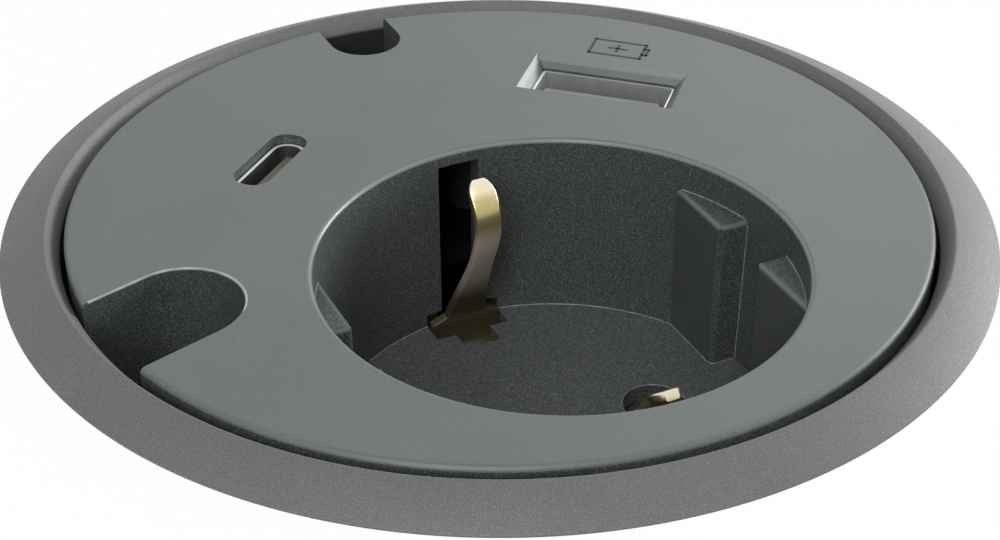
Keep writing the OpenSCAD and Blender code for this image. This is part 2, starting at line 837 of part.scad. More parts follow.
// Two leads from the contacts to the power board
module board_leads() {
    color("#8b3a2e") for (s = [-1, 1])
        translate([s * pin_x, lead_y, 0]) slab(power_board_z, base_z - gap) circle(lead_r, $fn = 32);
}

module transformer_core() {
    color("#3c3d40") translate([core_pos.x, core_pos.y, 0]) {
        slab(core_z, core_z + yoke) square(core_size, center = true);
        slab(core_z + core_h - yoke, core_z + core_h) square(core_size, center = true);
        for (s = [-1, 1])
            slab(core_z, core_z + core_h)
                translate([s * (core_size.x - core_leg) / 2, 0])
                    square([core_leg, core_size.y], center = true);
    }
}

module transformer_coil() {
    low = core_z + yoke;
    high = core_z + core_h - yoke;
    color("#c9a227") translate([core_pos.x, core_pos.y, 0]) {
        slab(low, high) circle(coil_r);
        slab(low, low + coil_rim[1]) circle(coil_rim[0]);
        slab(high - coil_rim[1], high) circle(coil_rim[0]);
    }
}

// A capacitor can, whose size is its radius and its height
module capacitor(pos, size) {
    color("#20242c") translate([pos.x, pos.y, power_board_z])
        cylinder(h = size[1], r = size[0], $fn = 64);
}

module input_capacitor() { capacitor(input_capacitor_pos, input_capacitor_size); }
module output_capacitor() { capacitor(output_capacitor_pos, output_capacitor_size); }

module bridge_rectifier() {
    color("#202123") slab(power_board_z, power_board_z + rectifier_size.z)
        translate(rectifier_pos) square([rectifier_size.x, rectifier_size.y], center = true);
}

module fuse() {
    color("#d9d4c4") translate([fuse_pos.x, fuse_pos.y, power_board_z + 2]) rotate([0, 90, 0]) {
        cylinder(h = 10, r = 1.9, center = true, $fn = 48);
        for (s = [-1, 1]) translate([0, 0, s * 4]) cylinder(h = 2.4, r = 2, center = true, $fn = 48);
    }
}

module insulation_plate() {
    color("#e8e4d4") difference() {
        slab(insulation_z, insulation_z + insulation_t) difference() {
            circle(cavity_low_r - gap);
            translate([-50, insulation_y[0] - 100]) square(100);
            translate([-50, insulation_y[1]]) square(100);
            notches(wall + gap);
        }
        for (s = [-1, 1])
            translate([s * pin_x, lead_y, 0]) slab(insulation_z - cut, insulation_z + 2)
                circle(lead_r + 0.3, $fn = 32);
    }
}

// Plan of the housing below its step, set in by a margin
module low_outline(r, set_in) {
    difference() {
        circle(r, $fn = 180);
        translate([-50, flat_y + set_in - 100]) square([100, 100]);
    }
}

module lower_housing() {
    step_top = step_z + housing_wall;
    color(black_plastic) difference() {
        union() {
            difference() {
                union() {
                    slab(seat_z, skirt_z) circle(housing_top_r, $fn = 180);
                    slab(skirt_z, rim_top_z) circle(skirt_in_r - gap, $fn = 180);
                    slab(step_z, seat_z) circle(housing_low_r, $fn = 180);
                    slab(housing_z, step_z) low_outline(housing_low_r, 0);
                }
                // Cavity, leaving the walls round the cable notches
                difference() {
                    union() {
                        slab(seat_z + housing_wall, rim_top_z + cut) circle(cavity_top_r);
                        slab(step_top, seat_z + housing_wall + cut) circle(cavity_low_r);
                        slab(housing_z - cut, step_top + cut) low_outline(cavity_low_r, housing_wall);
                    }
                    slab(housing_z - 2 * cut, skirt_z - gap) notches(wall);
                }
            }
            for (p = cover_spots)
                translate(p) slab(housing_z, housing_z + cover_boss_len) circle(cover_boss_r);
            // Catches that snap into the skirt, and hooks that snap under the barrel
            for (a = hook_turns) rotate(a) {
                slab(catch_z, catch_z + catch_h)
                    translate([skirt_in_r - gap - 0.5, -catch_w / 2]) square([catch_out + 0.5, catch_w]);
                rotate([90, 0, 0]) linear_extrude(6, center = true) polygon([
                    [housing_low_r - 1, barrel_z - gap], [housing_low_r + hook_out, barrel_z - gap],
                    [housing_low_r + hook_out, barrel_z - 0.8], [housing_low_r - 1, barrel_z - 3.6]
                ]);
            }
        }
        slab(housing_z - cut, rim_top_z + cut) notches();
        // Room for the face plate's walls round the notches
        slab(skirt_z, rim_top_z + cut) notches(wall + gap);
        for (p = cover_spots)
            translate(p) slab(housing_z - cut, housing_z + 8) circle(cover_screw[2], $fn = 32);
        translate([0, flat_y, gland_z]) rotate([90, 0, 0])
            cylinder(h = 20, r = gland_r + gap, center = true, $fn = 64);
    }
}

module base_cover() {
    color(black_plastic) difference() {
        union() {
            slab(cover_z, housing_z) difference() {
                low_outline(housing_low_r, 0);
                notches();
            }
            for (p = board_post_spots)
                translate(p) slab(housing_z, power_board_z - board_t) circle(2.4);
        }
        for (p = cover_spots)
            translate(p) {
                slab(cover_z - cut, housing_z + cut) circle(cover_screw[2] + screw_gap, $fn = 32);
                slab(cover_z - cut, cover_z + cover_screw[1]) circle(cover_screw[0] + screw_gap, $fn = 48);
            }
        for (p = board_post_spots)
            translate(p) slab(housing_z + 0.2, power_board_z) circle(small_screw[2], $fn = 32);
    }
}

module cover_screws() {
    color(steel) for (p = cover_spots)
        translate([p.x, p.y, cover_z + cover_screw[1]]) screw(cover_screw, 7.5);
}

// Places its children on the gland's axis, which points out of the flat side
module on_gland() {
    translate([0, flat_y, gland_z]) rotate([90, 0, 0]) children();
}

module cord_gland() {
    color(black_plastic) on_gland() difference() {
        union() {
            translate([0, 0, -housing_wall - 3.2])
                cylinder(h = housing_wall + 3.2 + gland_out, r = gland_r, $fn = 64);
            cylinder(h = gland_collar_h, r = gland_hex_r, $fn = 6);
        }
        translate([0, 0, -20]) cylinder(h = 40, r = gland_bore_r, $fn = 64);
        translate([0, 0, gland_out - seal_len]) cylinder(h = 10, r = gland_r - seal_wall, $fn = 64);
    }
}

module gland_seal() {
    color("#2f2f2f") on_gland() difference() {
        translate([0, 0, gland_out - seal_len])
            cylinder(h = seal_len, r = gland_r - seal_wall - thread_gap, $fn = 64);
        cylinder(h = 10, r = gland_bore_r, $fn = 64);
    }
}

module gland_cap() {
    color(black_plastic) on_gland() difference() {
        union() {
            translate([0, 0, gland_collar_h + gap]) cylinder(h = 3.6, r = gland_hex_r, $fn = 6);
            translate([0, 0, gland_collar_h + gap + 3.6]) cylinder(h = 1, r1 = 5.4, r2 = 4.6, $fn = 64);
        }
        translate([0, 0, -cut]) cylinder(h = cut + gland_out + gap, r = gland_r + thread_gap, $fn = 64);
        translate([0, 0, -cut]) cylinder(h = 20, r = gland_bore_r, $fn = 64);
    }
}

module gland_locknut() {
    color(black_plastic) on_gland() difference() {
        translate([0, 0, -housing_wall - gland_nut_h])
            cylinder(h = gland_nut_h, r = gland_nut_r, $fn = 6);
        translate([0, 0, -20]) cylinder(h = 40, r = gland_r + thread_gap, $fn = 64);
    }
}

trim_ring();
clamp_nut();
face_plate();
socket_floor();
floor_screws();
contact_base();
line_contact();
neutral_contact();
earth_bracket();
earth_pillar();
contact_screws();
terminal_screws();
usb_a_shell();
usb_a_tongue();
usb_a_contacts();
usb_c_shell();
usb_c_tongue();
port_board();
port_board_screws();
ribbon_cable();
power_board();
board_screws();
board_leads();
transformer_core();
transformer_coil();
input_capacitor();
output_capacitor();
bridge_rectifier();
fuse();
insulation_plate();
lower_housing();
base_cover();
cover_screws();
cord_gland();
gland_seal();
gland_cap();
gland_locknut();
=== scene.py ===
# %% [markdown]
# # An in-desk power module
# A round socket with two charging ports, let into a desk top through an 80 mm hole. The imported model is
# loaded first, as a frame that nothing moves: each piece made here takes its place from it.

# %% Load the frame
import bmesh
import bpy
import math
from mathutils import Matrix, Vector


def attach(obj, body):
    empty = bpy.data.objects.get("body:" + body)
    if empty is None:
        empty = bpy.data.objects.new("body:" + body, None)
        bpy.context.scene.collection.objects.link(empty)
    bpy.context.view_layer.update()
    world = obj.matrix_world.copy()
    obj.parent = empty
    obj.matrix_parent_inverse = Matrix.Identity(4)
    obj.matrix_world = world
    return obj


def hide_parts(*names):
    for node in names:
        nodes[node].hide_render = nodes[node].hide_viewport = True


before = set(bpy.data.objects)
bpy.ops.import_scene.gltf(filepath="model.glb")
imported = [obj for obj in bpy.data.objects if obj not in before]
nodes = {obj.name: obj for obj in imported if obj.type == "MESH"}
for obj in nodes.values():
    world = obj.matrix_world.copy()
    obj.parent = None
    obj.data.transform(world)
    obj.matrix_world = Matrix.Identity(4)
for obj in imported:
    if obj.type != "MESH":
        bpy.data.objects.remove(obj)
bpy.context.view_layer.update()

MM = 0.001

# %% [markdown]
# ## The camera
# The camera looks down on the ring at about 33 degrees from 164 mm away, and the line of the pin holes is
# turned 25.7 degrees in its view. Its place and its lens come from a fit to the ring's and the well's
# ellipses, because a camera set by eye would show as an outline that is a few pixels off all round.

# %% Camera
CAMERA_AT = (-60.72, -126.17, 86.04)
HEADING = math.radians(25.7)
PITCH = math.radians(33.25)
LENS = 69.3

camera = bpy.data.objects.new("camera", bpy.data.cameras.new("camera"))
bpy.context.scene.collection.objects.link(camera)
bpy.context.scene.camera = camera
camera.location = Vector(CAMERA_AT) * MM
camera.rotation_euler = (math.pi / 2 - PITCH, 0, -HEADING)
camera.data.lens = LENS
camera.data.sensor_width = 36
camera.data.clip_start = 0.005
camera.data.clip_end = 20
bpy.context.scene.view_settings.view_transform = "Standard"

# %% [markdown]
# ## Colours and shader nodes
# A colour is easiest to compare with the real thing as an sRGB hex value, but a shader works in linear
# light, so one function turns the one into the other. A second one adds a shader node with its settings,
# its values and its links in one call, which keeps each finish below readable as a list.

# %% Colour and node helpers
def linear(code):
    """The linear colour, with full alpha, of an sRGB hex value such as #6b706f."""
    parts = [int(code[i:i + 2], 16) / 255 for i in (1, 3, 5)]
    return [c / 12.92 if c <= 0.04045 else ((c + 0.055) / 1.055) ** 2.4 for c in parts] + [1.0]


def add(tree, kind, links=None, values=None, **settings):
    """Adds a node. settings are its own properties, and links and values go to its inputs."""
    made = tree.nodes.new(kind)
    for name, value in settings.items():
        setattr(made, name, value)
    for name, value in (values or {}).items():
        made.inputs[name].default_value = value
    for name, socket in (links or {}).items():
        tree.links.new(socket, made.inputs[name])
    return made


def finish_base(name, **values):
    """A new material with one Principled shader, and the place in the object in metres."""
    material = bpy.data.materials.new(name)
    material.use_nodes = True
    tree = material.node_tree
    tree.nodes.clear()
    shader = add(tree, "ShaderNodeBsdfPrincipled", values=values)
    add(tree, "ShaderNodeOutputMaterial", {"Surface": shader.outputs["BSDF"]})
    space = add(tree, "ShaderNodeTexCoord").outputs["Object"]
    return material, tree, shader, space


def facing(tree):
    """The direction that the surface faces, in the object's own axes."""
    return add(tree, "ShaderNodeTexCoord").outputs["Normal"]


def axis_distance(tree, space):
    """The distance from the part's upright axis."""
    parts = add(tree, "ShaderNodeSeparateXYZ", {"Vector": space})
    flat = add(tree, "ShaderNodeCombineXYZ", {"X": parts.outputs["X"], "Y": parts.outputs["Y"]})
    return add(tree, "ShaderNodeVectorMath", {0: flat.outputs["Vector"]}, operation="LENGTH").outputs["Value"]


def blend(tree, mask, first, second):
    """The colour first where the mask is 0 and second where it is 1. Each is a hex value or a socket."""
    made = add(tree, "ShaderNodeMix", {0: mask}, data_type="RGBA")
    for place, colour in ((6, first), (7, second)):
        if isinstance(colour, str):
            made.inputs[place].default_value = linear(colour)
        else:
            tree.links.new(colour, made.inputs[place])
    return made.outputs[2]


def ramp(tree, value, low, high, to_low=0.0, to_high=1.0):
    """Maps the range from low to high of a value to the range from to_low to to_high, and clamps it."""
    return add(tree, "ShaderNodeMapRange", {"Value": value},
               {"From Min": low, "From Max": high, "To Min": to_low, "To Max": to_high}).outputs["Result"]


def noise(tree, space, size_mm, detail=2.0, roughness=0.5):
    """Noise whose spots are about size_mm across."""
    return add(tree, "ShaderNodeTexNoise", {"Vector": space},
               {"Scale": 1 / (size_mm * MM), "Detail": detail, "Roughness": roughness}).outputs["Fac"]

# %% [markdown]
# ## Moulded plastic with two grains
# The face is one moulding of PC/ABS. The tool's top was bead-blasted, which gives the face a fine,
# satin surface. The walls of the well and of the cable notches are spark-eroded, with pits some 0.1 mm
# wide that speckle them. Their dark base colour is painted shade, for the light that does not reach down
# into the well and the notches. Both grains are in one material, split by the height in the part. The
# radii along the rims are polished by hand in the tool, so they come out smooth, and a mask on how far
# the surface leans finds them. There a paler colour is a painted highlight.

# %% Face plastic
FACE_Z = 1.73            # mm, the face above the desk
GRAIN_START = 1.25       # mm, the height below which the tool is spark-eroded
PIT_MM = 0.13            # the real pits are about 0.05 mm, and are drawn wider so that they show

def two_grain_plastic(name, satin, satin_light, pitted_and_shade, pitted_light, rim_highlight="#868c8b", low_rim_highlight="#686e6d"):
    """Satin above GRAIN_START, spark-eroded below it and on walls. The dark pitted colour is painted shade, and
    the paler rim colours are a painted highlight.
    """
    material, tree, shader, space = finish_base(name, IOR=1.5)
    height = add(tree, "ShaderNodeSeparateXYZ", {"Vector": space}).outputs["Z"]
    lean = add(tree, "ShaderNodeSeparateXYZ", {"Vector": facing(tree)}).outputs["Z"]
    leaning = add(tree, "ShaderNodeMath", {0: ramp(tree, lean, 0.93, 0.8), 1: ramp(tree, lean, 0.3, 0.55)},
                  operation="MULTIPLY").outputs[0]
    inner = ramp(tree, axis_distance(tree, space), 35.9 * MM, 35.6 * MM)
    edge = add(tree, "ShaderNodeMath", {0: leaning, 1: inner}, operation="MULTIPLY").outputs[0]
    below = ramp(tree, height, (GRAIN_START + 0.1) * MM, (GRAIN_START - 0.1) * MM)
    wall = add(tree, "ShaderNodeMath", {0: below, 1: ramp(tree, lean, 0.3, 0.1)}, operation="MAXIMUM").outputs[0]
    low = add(tree, "ShaderNodeMath", {0: wall, 1: ramp(tree, edge, 0, 1, 1, 0)},
              operation="MULTIPLY").outputs[0]
    pits = noise(tree, space, PIT_MM, 2.0, 0.7)
    fine = noise(tree, space, 0.09, 1.0)
    cloud = noise(tree, space, 9.0, 2.0)
    satin_colour = blend(tree, ramp(tree, fine, 0.35, 0.7), satin, satin_light)
    # The dark pitted colours are painted shade over the real speckle of the pits.
    pitted_and_shade_colour = blend(tree, ramp(tree, pits, 0.48, 0.72), pitted_and_shade, pitted_light)
    # The rim colours are a painted highlight on the leaning radii.
    rim_highlights = blend(tree, below, rim_highlight, low_rim_highlight)
    colour = blend(tree, edge, blend(tree, low, satin_colour, pitted_and_shade_colour), rim_highlights)
    shade = add(tree, "ShaderNodeVectorMath", {0: colour, 1: ramp(tree, cloud, 0.3, 0.7, 0.96, 1.04)},
                operation="MULTIPLY")
    tree.links.new(shade.outputs["Vector"], shader.inputs["Base Color"])
    matt = ramp(tree, low, 0, 1, 0.42, 0.5)
    tree.links.new(add(tree, "ShaderNodeMath", {0: matt, 1: ramp(tree, edge, 0, 1, 0, 0.16)},
                       operation="SUBTRACT").outputs[0], shader.inputs["Roughness"])
    bump_depth = ramp(tree, low, 0, 1, 0.12, 0.55)
    grain = add(tree, "ShaderNodeBump", {"Height": pits, "Strength": bump_depth}, {"Distance": 0.03 * MM})
    tree.links.new(grain.outputs["Normal"], shader.inputs["Normal"])
    return material


# The dark pitted colours are painted shade in the well and notches, and the default rim colours are a painted
# highlight.
face_plastic = two_grain_plastic("face_moulded_pc_abs", "#616866", "#747a78", "#3a3e3e", "#7d8281")
floor_plastic = two_grain_plastic("floor_moulded_pc_abs", "#616866", "#747a78", "#434747", "#878b8a")
print("face finish:", face_plastic.name)

# %% [markdown]
# ## The trim ring's paint
# The ring is black plastic whose flange is sprayed with a metallic grey lacquer. Tiny flakes of
# aluminium in it give a warm grey with bright specks. Below a line just inside the ring's crest, and on the
# barrel, the colour is a near-black plastic. This is painted shade, for the dark gap between the ring and the
# face.
# The flakes of some 0.03 mm are drawn at 0.11 mm.

# %% Ring lacquer
FLAKE_MM = 0.11
# Below this height inside the ring, the near-black colour is painted shade.
MASK_Z = 0.35            # mm, the height of the lacquer's lower edge inside the ring

def flake_lacquer(name, base, flake, bare_shade, bare_shade_light):
    """Lacquer with flakes above MASK_Z or outside the barrel, and elsewhere near-black pitted plastic that is
    painted shade.
    """
    material, tree, shader, space = finish_base(name, IOR=1.5)
    parts = add(tree, "ShaderNodeSeparateXYZ", {"Vector": space})
    radius = axis_distance(tree, space)
    high = ramp(tree, parts.outputs["Z"], (MASK_Z - 0.08) * MM, (MASK_Z + 0.08) * MM)
    wide = ramp(tree, radius, 39.3 * MM, 39.5 * MM)
    above = ramp(tree, parts.outputs["Z"], -0.05 * MM, 0.0)
    outside = add(tree, "ShaderNodeMath", {0: wide, 1: above}, operation="MULTIPLY").outputs[0]
    painted = add(tree, "ShaderNodeMath", {0: high, 1: outside}, operation="MAXIMUM").outputs[0]
    flakes = noise(tree, space, FLAKE_MM, 1.0, 0.6)
    cloud = noise(tree, space, 7.0, 2.0)
    paint = blend(tree, ramp(tree, flakes, 0.5, 0.72), base, flake)
    shaded_plastic = blend(tree, ramp(tree, noise(tree, space, PIT_MM, 2.0), 0.5, 0.75), bare_shade, bare_shade_light)
    colour = blend(tree, painted, shaded_plastic, paint)
    shade = add(tree, "ShaderNodeVectorMath", {0: colour, 1: ramp(tree, cloud, 0.3, 0.7, 0.96, 1.04)},
                operation="MULTIPLY")
    tree.links.new(shade.outputs["Vector"], shader.inputs["Base Color"])
    tree.links.new(ramp(tree, flakes, 0.4, 0.7, 0.58, 0.47), shader.inputs["Roughness"])
    grain = add(tree, "ShaderNodeBump", {"Height": flakes}, {"Strength": 0.35, "Distance": 0.02 * MM})
    tree.links.new(grain.outputs["Normal"], shader.inputs["Normal"])
    return material


# The two near-black colours are painted shade in the gap inside the ring.
ring_lacquer = flake_lacquer("ring_flake_lacquer", "#676966", "#82837f", "#1d1e1f", "#333536")
print("ring finish:", ring_lacquer.name)

# %% [markdown]
# ## Black plastics below the desk
# The nut, the housing and the gland are moulded in glass-filled PBT, which comes out of the tool matt
# and slightly streaked, where the fibres lie along the flow. The grain is coarser than that of the face.

# %% Housing plastic
def filled_plastic(name, colour, light, grain_mm, roughness):
    """Glass-filled plastic: pits grain_mm wide, and faint flow streaks along the axis."""
    material, tree, shader, space = finish_base(name, IOR=1.55, Roughness=roughness)
    pits = noise(tree, space, grain_mm, 3.0, 0.65)
    along = add(tree, "ShaderNodeMapping", {"Vector": space}, {"Scale": (1, 1, 0.12)}).outputs["Vector"]
    streaks = noise(tree, along, 2.5, 3.0)
    colour = blend(tree, ramp(tree, pits, 0.5, 0.75), colour, light)
    shade = add(tree, "ShaderNodeVectorMath", {0: colour, 1: ramp(tree, streaks, 0.35, 0.65, 0.88, 1.12)},
                operation="MULTIPLY")
    tree.links.new(shade.outputs["Vector"], shader.inputs["Base Color"])
    tree.links.new(ramp(tree, streaks, 0.3, 0.7, roughness - 0.06, roughness + 0.06),
                   shader.inputs["Roughness"])
    grain = add(tree, "ShaderNodeBump", {"Height": pits}, {"Strength": 0.5, "Distance": 0.03 * MM})
    tree.links.new(grain.outputs["Normal"], shader.inputs["Normal"])
    return material


housing_plastic = filled_plastic("housing_glass_filled_pbt", "#242629", "#3b3e42", 0.25, 0.5)
nut_plastic = filled_plastic("nut_glass_filled_pa", "#202224", "#383b3e", 0.3, 0.46)
gland_plastic = filled_plastic("gland_moulded_pa", "#2b2d30", "#404347", 0.2, 0.42)
thermoset = filled_plastic("contact_base_thermoset", "#d6d2c4", "#e6e2d6", 0.2, 0.4)
print("black plastics:", housing_plastic.name, nut_plastic.name, gland_plastic.name)

# %% [markdown]
# ## Rolled sheet metal
# The earth strip is nickel-plated brass and the port shells are nickel-plated steel, both blanked from
# rolled sheet. Rolling leaves fine lines along the sheet, which draw a highlight out across them. The
# real lines are some hundredths of a millimetre apart and are drawn at 0.06 mm.

# %% Sheet metal
def rolled_metal(name, colour, shade, roughness, line_mm=0.06, stretch=(1, 1, 0.06), bump=0.12):
    """Plated sheet. The rolling lines run along the axis whose stretch is small."""
    material, tree, shader, space = finish_base(name, Metallic=1.0)
    along = add(tree, "ShaderNodeMapping", {"Vector": space}, {"Scale": stretch}).outputs["Vector"]
    lines = noise(tree, along, line_mm, 2.0)
    stain = noise(tree, space, 2.2, 3.0)
    tint = blend(tree, ramp(tree, stain, 0.35, 0.7), colour, shade)
    tree.links.new(tint, shader.inputs["Base Color"])
    tree.links.new(ramp(tree, lines, 0.3, 0.7, roughness * 0.8, roughness * 1.25),
                   shader.inputs["Roughness"])
    grain = add(tree, "ShaderNodeBump", {"Height": lines}, {"Strength": bump, "Distance": 0.008 * MM})
    tree.links.new(grain.outputs["Normal"], shader.inputs["Normal"])
    return material


def plated_shell(name, rim_highlight, wall, wall_shade):
    """A drawn steel shell. Faces that look up get the paler rim colour, a painted highlight, and the walls get
    the mottled wall colours.
    """
    material, tree, shader, space = finish_base(name, Metallic=1.0)
    lean = add(tree, "ShaderNodeSeparateXYZ", {"Vector": facing(tree)}).outputs["Z"]
    # Faces that look up are drawn in the rim colour: a painted highlight.
    bright = ramp(tree, lean, 0.4, 0.8)
    inside = blend(tree, ramp(tree, noise(tree, space, 0.9, 2.0), 0.35, 0.7), wall, wall_shade)
    tree.links.new(blend(tree, bright, inside, rim_highlight), shader.inputs["Base Color"])
    tree.links.new(ramp(tree, bright, 0, 1, 0.5, 0.6), shader.inputs["Roughness"])
    return material


brass = rolled_metal("turned_brass", "#c3b47e", "#a8985c", 0.3)
contact_metal = rolled_metal("contact_plated_brass", "#d8d4c2", "#c3bea9", 0.25)
shell_steel = plated_shell("port_shell_plated_steel", "#f6f7f7", "#dcdedf", "#d2d4d5")
# The small shell's dark wall colours are painted shade inside its narrow slot.
small_shell_shaded_steel = plated_shell("small_port_shell_painted_shade", "#f6f7f7", "#8b8a84", "#75736d")
screw_steel = rolled_metal("screw_zinc_plated_steel", "#b9bdc1", "#a5aab0", 0.35, stretch=(1, 1, 1))
print("metals:", brass.name, shell_steel.name)

# %% [markdown]
# ## The earth strip's brass
# The strip's colour changes with its height. The near-white tip is a painted highlight, and the straw
# yellow below it is the brass's own colour. A darker band at the bend and the dull olive brown at the foot,
# deep in the well, are painted shade, and the pale pinkish band between them is a painted reflection.
# Lower down the strip is less metallic too. Soft masks over the height join the colours.

# %% Earth strip brass
# Heights where the painted light on the strip changes: highlight at the tip, then shade, reflection and shade at
# the foot.
STRIP_LIGHT_HEIGHTS = (0.4, -0.2, -2.4, -4.2, -9.0, -12.2)   # mm, heights where the strip changes from bright to dull

def brass_with_painted_light(name, colours):
    """Plated brass with a colour at each of the heights above, from the painted highlight at the tip down to the
    painted shade at the foot.
    """
    material, tree, shader, space = finish_base(name)
    height = add(tree, "ShaderNodeSeparateXYZ", {"Vector": space}).outputs["Z"]
    stain = noise(tree, space, 1.6, 2.0)
    colour = colours[0]
    for i, next_colour in enumerate(colours[1:]):
        colour = blend(tree, ramp(tree, height, STRIP_LIGHT_HEIGHTS[i] * MM, STRIP_LIGHT_HEIGHTS[i + 1] * MM), colour, next_colour)
    shade = add(tree, "ShaderNodeVectorMath", {0: colour, 1: ramp(tree, stain, 0.35, 0.7, 1.04, 0.92)},
                operation="MULTIPLY")
    tree.links.new(shade.outputs["Vector"], shader.inputs["Base Color"])
    tree.links.new(ramp(tree, height, STRIP_LIGHT_HEIGHTS[1] * MM, STRIP_LIGHT_HEIGHTS[3] * MM, 1.0, 0.3), shader.inputs["Metallic"])
    tree.links.new(ramp(tree, height, STRIP_LIGHT_HEIGHTS[2] * MM, STRIP_LIGHT_HEIGHTS[5] * MM, 0.26, 0.45), shader.inputs["Roughness"])
    along = add(tree, "ShaderNodeMapping", {"Vector": space}, {"Scale": (1, 1, 0.06)}).outputs["Vector"]
    grain = add(tree, "ShaderNodeBump", {"Height": noise(tree, along, 0.08, 1.0)},
                {"Strength": 0.05, "Distance": 0.005 * MM})
    tree.links.new(grain.outputs["Normal"], shader.inputs["Normal"])
    return material


# Top down: painted highlight, the brass's straw, painted shade, painted reflection in two tones, and painted
# shade at the foot.
clip_metal = brass_with_painted_light("earth_strip_plated_brass",
                          ("#e8e0c4", "#c8b884", "#a89a72", "#d6c9bb", "#b5a798", "#4d4735"))
print("earth strip finish:", clip_metal.name)

# %% [markdown]
# ## Inner finishes
# What sits inside the closed housing can't be seen from outside, but the model can be taken apart, so
# each of these nodes gets the finish of the real thing too.

# %% Inner finishes
def mottled(name, colour, light, size_mm, roughness):
    """A plain finish with spots of a lighter colour, size_mm across."""
    material, tree, shader, space = finish_base(name, Roughness=roughness)
    tint = blend(tree, ramp(tree, noise(tree, space, size_mm, 3.0), 0.35, 0.7), colour, light)
    tree.links.new(tint, shader.inputs["Base Color"])
    return material


solder_mask = mottled("board_solder_mask", "#1b5236", "#256b47", 0.8, 0.35)
black_mask = mottled("board_black_solder_mask", "#101211", "#1a1d1c", 0.8, 0.5)
ferrite = mottled("core_sintered_ferrite", "#37383b", "#4a4b4f", 0.15, 0.55)
winding_tape = mottled("coil_polyester_tape", "#c9a227", "#d9b648", 1.5, 0.3)
can_sleeve = mottled("capacitor_shrink_sleeve", "#1d2129", "#282d37", 2.0, 0.25)
fuse_glass = mottled("fuse_glass_and_caps", "#cfccc2", "#e2dfd6", 1.0, 0.15)
flat_cable = mottled("flat_cable_pvc", "#bfc1c4", "#cfd1d4", 0.6, 0.45)
lead_pvc = mottled("lead_pvc", "#8b3a2e", "#9b4638", 0.6, 0.4)
seal_rubber = mottled("gland_nitrile_rubber", "#202020", "#2f2f2f", 0.3, 0.7)
tongue_lcp = mottled("tongue_moulded_lcp", "#8a8e8d", "#9a9e9c", 0.2, 0.5)
small_tongue_lcp = mottled("small_tongue_moulded_lcp", "#57564f", "#6a6961", 0.2, 0.5)
print("inner finishes made:", len(bpy.data.materials), "materials in all")

# %% [markdown]
# ## The carried-over CAD nodes
# A node whose shape is right keeps its mesh and only gets its finish, through its object's material slots.

# %% Finishes of the CAD nodes
FINISHES = {
    face_plastic: ["face_plate"],
    floor_plastic: ["socket_floor"],
    nut_plastic: ["clamp_nut"],
    housing_plastic: ["lower_housing", "base_cover", "bridge_rectifier"],
    gland_plastic: ["cord_gland", "gland_cap", "gland_locknut"],
    thermoset: ["contact_base", "insulation_plate"],
    clip_metal: ["earth_bracket"],
    brass: ["earth_pillar", "usb_a_contacts"],
    contact_metal: ["line_contact", "neutral_contact", "terminal_screws"],
    shell_steel: ["usb_a_shell"],
    small_shell_shaded_steel: ["usb_c_shell"],
    screw_steel: ["floor_screws", "contact_screws", "port_board_screws", "board_screws", "cover_screws"],
    solder_mask: ["power_board"],
    black_mask: ["port_board"],
    ferrite: ["transformer_core"],
    winding_tape: ["transformer_coil"],
    can_sleeve: ["input_capacitor", "output_capacitor"],
    fuse_glass: ["fuse"],
    flat_cable: ["ribbon_cable"],
    lead_pvc: ["board_leads"],
    seal_rubber: ["gland_seal"],
    tongue_lcp: ["usb_a_tongue"],
    small_tongue_lcp: ["usb_c_tongue"],
    ring_lacquer: ["trim_ring"],
}
for finish, names in FINISHES.items():
    for name in names:
        for slot in nodes[name].material_slots:
            slot.material = finish
finished = {name for names in FINISHES.values() for name in names}
print("nodes finished:", len(finished), "left over:", sorted(set(nodes) - finished))

# %% [markdown]
# ## Mesh helpers
# Most pieces here are swept or turned: a section carried along a line or round the axis. One function
# joins rows of points, each the same length, to a smooth skin, and sharp edges are marked by their angle.

# %% Mesh helpers
def make_object(name, points, faces, finish, body="root", sharp=35):
    """An object from points in mm and faces, smooth except at edges sharper than an angle in degrees."""
    mesh = bpy.data.meshes.new(name)
    mesh.from_pydata([Vector(p) * MM for p in points], [], faces)
    mesh.update()
    shape = bmesh.new()
    shape.from_mesh(mesh)
    bmesh.ops.recalc_face_normals(shape, faces=shape.faces)
    shape.to_mesh(mesh)
    shape.free()
    mesh.shade_smooth()
    mesh.set_sharp_from_angle(angle=math.radians(sharp))
    mesh.materials.append(finish)
    made = bpy.data.objects.new(name, mesh)
    bpy.context.scene.collection.objects.link(made)
    if body:
        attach(made, body)
    return made


def skin(rows, wrap_rows=False, wrap=True, cap=False):
    """Points and faces of a skin over rows of points. wrap closes each row, and cap closes both ends."""
    count = len(rows[0])
    points = [p for row in rows for p in row]
    faces = []
    for i in range(len(rows) if wrap_rows else len(rows) - 1):
        a, b = i * count, (i + 1) % len(rows) * count
        for j in range(count if wrap else count - 1):
            k = (j + 1) % count
            faces.append((a + j, a + k, b + k, b + j))
    if cap:
        faces.append(tuple(range(count)))
        faces.append(tuple(range(len(points) - count, len(points)))[::-1])
    return points, faces


def on_circle(radius, angle, z):
    """A point at a radius and an angle in degrees, at a height."""
    a = math.radians(angle)
    return (radius * math.cos(a), radius * math.sin(a), z)


